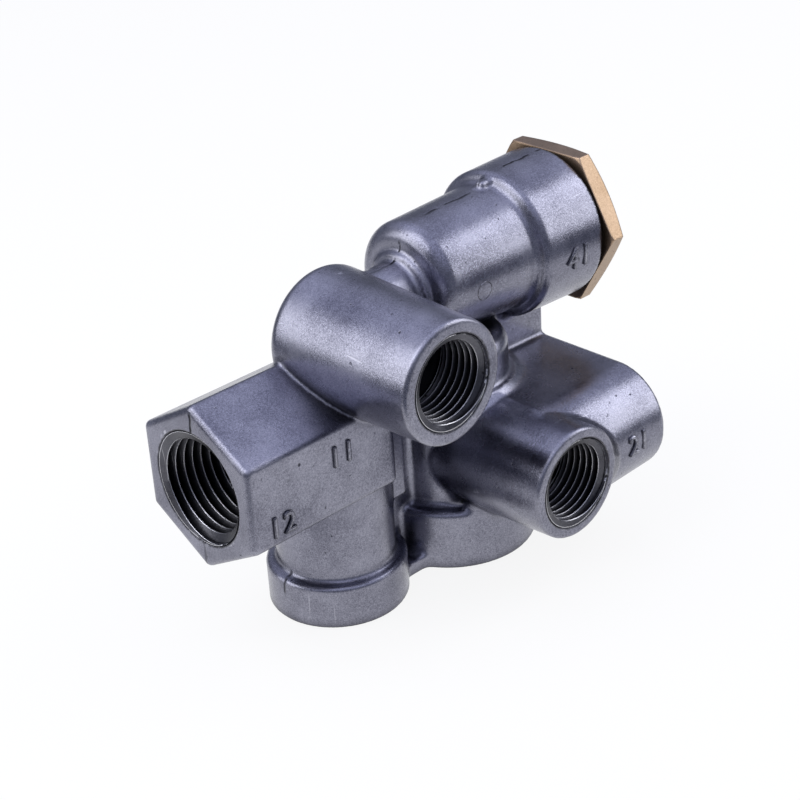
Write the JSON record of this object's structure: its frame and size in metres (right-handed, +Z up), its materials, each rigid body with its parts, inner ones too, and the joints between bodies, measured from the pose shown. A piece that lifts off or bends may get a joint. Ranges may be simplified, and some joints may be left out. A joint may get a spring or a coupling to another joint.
{
  "type": "parking brake control valve",
  "caption": "Die-cast air valve for trailer parking brakes, with reservoir, supply, delivery and control ports, and pistons and poppets that slide inside it.",
  "frame": {"origin": "middle of the reservoir port's outer face, on the port's axis", "axes": "+X into the casting towards the control port, -Y towards the supply port, +Z up from the base"},
  "size_m": [0.0928, 0.0656, 0.0696],
  "materials": {
    "cast_aluminium": "satin die cast",
    "turned_aluminium": "turned",
    "brass": "turned",
    "rubber": "smooth",
    "spring_steel": "drawn",
    "ring_steel": "phosphated",
    "black_plastic": "moulded"
  },
  "bodies": {
    "casing": {"valve_body": "cast_aluminium", "control_port_fitting": "brass", "control_gasket": "rubber", "control_spring": "spring_steel", "inlet_seat": "brass", "inlet_seat_seal": "rubber", "inlet_spring": "spring_steel", "exhaust_cover": "turned_aluminium", "exhaust_cover_seal": "rubber", "exhaust_grille": "black_plastic", "exhaust_flap": "rubber", "relay_retaining_ring": "ring_steel", "protection_spring": "spring_steel", "leg_end_cap": "turned_aluminium", "leg_cap_seal": "rubber", "leg_retaining_ring": "ring_steel"},
    "control_slider": {"control_piston": "turned_aluminium", "control_head_seal": "rubber", "control_stem_seal": "rubber"},
    "relay_slider": {"relay_piston": "turned_aluminium", "relay_piston_seal": "rubber"},
    "inlet_slider": {"inlet_exhaust_valve": "brass", "inlet_valve_face": "rubber"},
    "protection_slider": {"protection_valve": "brass", "protection_valve_seal": "rubber", "protection_valve_face": "rubber"}
  },
  "joints": [
    {"name": "control_piston_slide", "type": "slide", "parent": "casing", "child": "control_slider", "axis": [-1, 0, 0], "range_m": [0, 0.0022], "stiffness_N_per_m": 1500, "springref_m": -0.003, "deforming": ["control_spring"]},
    {"name": "relay_piston_slide", "type": "slide", "parent": "casing", "child": "relay_slider", "axis": [0, 0, -1], "range_m": [0, 0.0014]},
    {"name": "inlet_valve_slide", "type": "slide", "parent": "casing", "child": "inlet_slider", "axis": [0, 0, -1], "range_m": [0, 0.0016], "stiffness_N_per_m": 1200, "springref_m": -0.002, "deforming": ["inlet_spring"]},
    {"name": "protection_valve_slide", "type": "slide", "parent": "casing", "child": "protection_slider", "axis": [0, 0, -1], "range_m": [0, 0.003], "stiffness_N_per_m": 3000, "springref_m": -0.003, "deforming": ["protection_spring"]}
  ]
}
